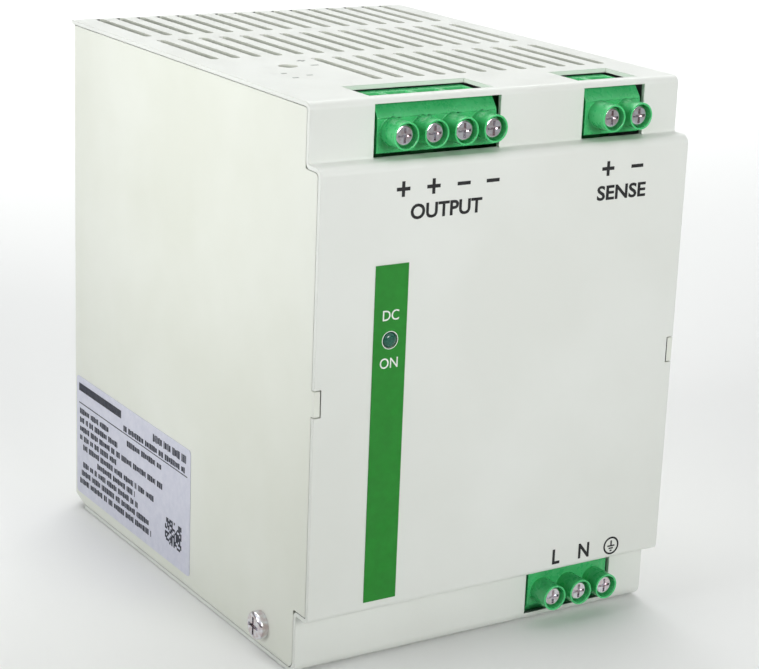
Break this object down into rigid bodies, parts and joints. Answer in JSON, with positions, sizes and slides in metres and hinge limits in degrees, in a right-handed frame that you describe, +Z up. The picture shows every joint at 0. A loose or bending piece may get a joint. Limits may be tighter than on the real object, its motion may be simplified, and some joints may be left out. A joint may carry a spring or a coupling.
{
  "type": "din rail power supply",
  "caption": "Boxy sheet-steel power supply that clips on a DIN rail, with green screw terminals at top and bottom of a stepped front, vent slots and a status lamp.",
  "frame": {"origin": "centre of the rail seat, on the rear face of the rail bracket at the height of the rail's centre line", "axes": "+X to the right along the rail as seen from the front, +Y rearwards into the rail, +Z up; the front faces -Y"},
  "size_m": [0.1028, 0.1348, 0.13],
  "materials": {
    "chassis_paint": "light cream powder coat, fine orange peel",
    "cover_paint": "light cream powder coat, fine orange peel",
    "nickel": "bright nickel plate",
    "strip_film": "satin green film",
    "lens": "clear, tinted teal",
    "lamp": "clear resin",
    "label_foil": "satin foil",
    "terminal_plastic": "moulded, satin",
    "tinned_copper": "tin plate",
    "clamp_steel": "zinc plate",
    "zinc_plate": "bright zinc",
    "latch_plastic": "moulded, fine spark texture",
    "spring_wire": "drawn wire",
    "board_laminate": "solder resist on glass laminate",
    "ferrite": "sintered, matt",
    "enamelled_copper": "enamelled wire",
    "capacitor_box": "moulded box",
    "fuse_glass": "glass tube with plated caps",
    "bobbin_plastic": "moulded",
    "winding_tape": "polyester tape",
    "choke_coating": "coated powder core",
    "capacitor_sleeve": "printed shrink sleeve",
    "sink_aluminium": "extruded",
    "thermal_rubber": "filled silicone",
    "component_black": "moulded epoxy",
    "trimmer_plastic": "moulded",
    "rotor_plastic": "moulded"
  },
  "bodies": {
    "case": {"chassis": "chassis_paint", "front_cover": "cover_paint", "case_screws": "nickel", "green_strip": "strip_film", "light_guide": "lens", "status_lamp": "lamp", "rating_label": "label_foil", "output_terminal_housing": "terminal_plastic", "sense_terminal_housing": "terminal_plastic", "input_terminal_housing": "terminal_plastic", "output_contacts": "tinned_copper", "sense_contacts": "tinned_copper", "input_contacts": "tinned_copper", "rail_bracket": "zinc_plate", "bracket_screws": "zinc_plate", "latch_spring": "spring_wire", "terminal_board": "board_laminate", "main_board": "board_laminate", "control_board": "board_laminate", "board_standoffs": "zinc_plate", "board_screws": "zinc_plate", "mains_choke_core": "ferrite", "mains_choke_winding": "enamelled_copper", "interference_capacitor": "capacitor_box", "fuse": "fuse_glass", "fuse_clips": "tinned_copper", "transformer_core": "ferrite", "transformer_bobbin": "bobbin_plastic", "transformer_winding": "winding_tape", "output_choke_core": "choke_coating", "output_choke_winding": "enamelled_copper", "bulk_capacitors": "capacitor_sleeve", "output_capacitors": "capacitor_sleeve", "heat_sink": "sink_aluminium", "thermal_pads": "thermal_rubber", "power_transistors": "component_black", "bridge_rectifier": "component_black", "transistor_screws": "zinc_plate", "trimmer_body": "trimmer_plastic"},
    "output_screw_1": {"output_screw_1": "nickel"},
    "output_clamp_1": {"output_clamp_1": "clamp_steel"},
    "output_screw_2": {"output_screw_2": "nickel"},
    "output_clamp_2": {"output_clamp_2": "clamp_steel"},
    "output_screw_3": {"output_screw_3": "nickel"},
    "output_clamp_3": {"output_clamp_3": "clamp_steel"},
    "output_screw_4": {"output_screw_4": "nickel"},
    "output_clamp_4": {"output_clamp_4": "clamp_steel"},
    "sense_screw_1": {"sense_screw_1": "nickel"},
    "sense_clamp_1": {"sense_clamp_1": "clamp_steel"},
    "sense_screw_2": {"sense_screw_2": "nickel"},
    "sense_clamp_2": {"sense_clamp_2": "clamp_steel"},
    "input_screw_1": {"input_screw_1": "nickel"},
    "input_clamp_1": {"input_clamp_1": "clamp_steel"},
    "input_screw_2": {"input_screw_2": "nickel"},
    "input_clamp_2": {"input_clamp_2": "clamp_steel"},
    "input_screw_3": {"input_screw_3": "nickel"},
    "input_clamp_3": {"input_clamp_3": "clamp_steel"},
    "latch": {"rail_latch": "latch_plastic"},
    "trimmer": {"trimmer_rotor": "rotor_plastic"}
  },
  "joints": [
    {"name": "output_screw_1_turn", "type": "hinge", "parent": "case", "child": "output_screw_1", "pos_m": [-0.02833, -0.1276, 0.0565], "axis": [0, 1, 0], "range_deg": [0, 1729]},
    {"name": "output_clamp_1_lift", "type": "slide", "parent": "case", "child": "output_clamp_1", "axis": [0, -1, 0], "range_m": [0, 0.0024]},
    {"name": "output_screw_2_turn", "type": "hinge", "parent": "case", "child": "output_screw_2", "pos_m": [-0.02071, -0.1276, 0.0565], "axis": [0, 1, 0], "range_deg": [0, 1729]},
    {"name": "output_clamp_2_lift", "type": "slide", "parent": "case", "child": "output_clamp_2", "axis": [0, -1, 0], "range_m": [0, 0.0024]},
    {"name": "output_screw_3_turn", "type": "hinge", "parent": "case", "child": "output_screw_3", "pos_m": [-0.01309, -0.1276, 0.0565], "axis": [0, 1, 0], "range_deg": [0, 1729]},
    {"name": "output_clamp_3_lift", "type": "slide", "parent": "case", "child": "output_clamp_3", "axis": [0, -1, 0], "range_m": [0, 0.0024]},
    {"name": "output_screw_4_turn", "type": "hinge", "parent": "case", "child": "output_screw_4", "pos_m": [-0.00547, -0.1276, 0.0565], "axis": [0, 1, 0], "range_deg": [0, 1729]},
    {"name": "output_clamp_4_lift", "type": "slide", "parent": "case", "child": "output_clamp_4", "axis": [0, -1, 0], "range_m": [0, 0.0024]},
    {"name": "sense_screw_1_turn", "type": "hinge", "parent": "case", "child": "sense_screw_1", "pos_m": [0.02679, -0.1276, 0.0565], "axis": [0, 1, 0], "range_deg": [0, 1729]},
    {"name": "sense_clamp_1_lift", "type": "slide", "parent": "case", "child": "sense_clamp_1", "axis": [0, -1, 0], "range_m": [0, 0.0024]},
    {"name": "sense_screw_2_turn", "type": "hinge", "parent": "case", "child": "sense_screw_2", "pos_m": [0.03441, -0.1276, 0.0565], "axis": [0, 1, 0], "range_deg": [0, 1729]},
    {"name": "sense_clamp_2_lift", "type": "slide", "parent": "case", "child": "sense_clamp_2", "axis": [0, -1, 0], "range_m": [0, 0.0024]},
    {"name": "input_screw_1_turn", "type": "hinge", "parent": "case", "child": "input_screw_1", "pos_m": [0.01898, -0.1276, -0.0585], "axis": [0, 1, 0], "range_deg": [0, 1729]},
    {"name": "input_clamp_1_lift", "type": "slide", "parent": "case", "child": "input_clamp_1", "axis": [0, -1, 0], "range_m": [0, 0.0024]},
    {"name": "input_screw_2_turn", "type": "hinge", "parent": "case", "child": "input_screw_2", "pos_m": [0.0266, -0.1276, -0.0585], "axis": [0, 1, 0], "range_deg": [0, 1729]},
    {"name": "input_clamp_2_lift", "type": "slide", "parent": "case", "child": "input_clamp_2", "axis": [0, -1, 0], "range_m": [0, 0.0024]},
    {"name": "input_screw_3_turn", "type": "hinge", "parent": "case", "child": "input_screw_3", "pos_m": [0.03422, -0.1276, -0.0585], "axis": [0, 1, 0], "range_deg": [0, 1729]},
    {"name": "input_clamp_3_lift", "type": "slide", "parent": "case", "child": "input_clamp_3", "axis": [0, -1, 0], "range_m": [0, 0.0024]},
    {"name": "rail_latch_slide", "type": "slide", "parent": "case", "child": "latch", "axis": [0, 0, -1], "range_m": [0, 0.005], "stiffness_N_per_m": 500, "springref_m": -0.004, "deforming": ["latch_spring"]},
    {"name": "trimmer_turn", "type": "hinge", "parent": "case", "child": "trimmer", "pos_m": [-0.0309, -0.0814, 0.059], "axis": [0, 0, 1], "range_deg": [-120, 120]}
  ],
  "couplings": [
    {"joint": "output_screw_1_turn", "follows": "output_clamp_1_lift", "rad_per_m": 12566},
    {"joint": "output_screw_2_turn", "follows": "output_clamp_2_lift", "rad_per_m": 12566},
    {"joint": "output_screw_3_turn", "follows": "output_clamp_3_lift", "rad_per_m": 12566},
    {"joint": "output_screw_4_turn", "follows": "output_clamp_4_lift", "rad_per_m": 12566},
    {"joint": "sense_screw_1_turn", "follows": "sense_clamp_1_lift", "rad_per_m": 12566},
    {"joint": "sense_screw_2_turn", "follows": "sense_clamp_2_lift", "rad_per_m": 12566},
    {"joint": "input_screw_1_turn", "follows": "input_clamp_1_lift", "rad_per_m": 12566},
    {"joint": "input_screw_2_turn", "follows": "input_clamp_2_lift", "rad_per_m": 12566},
    {"joint": "input_screw_3_turn", "follows": "input_clamp_3_lift", "rad_per_m": 12566}
  ]
}
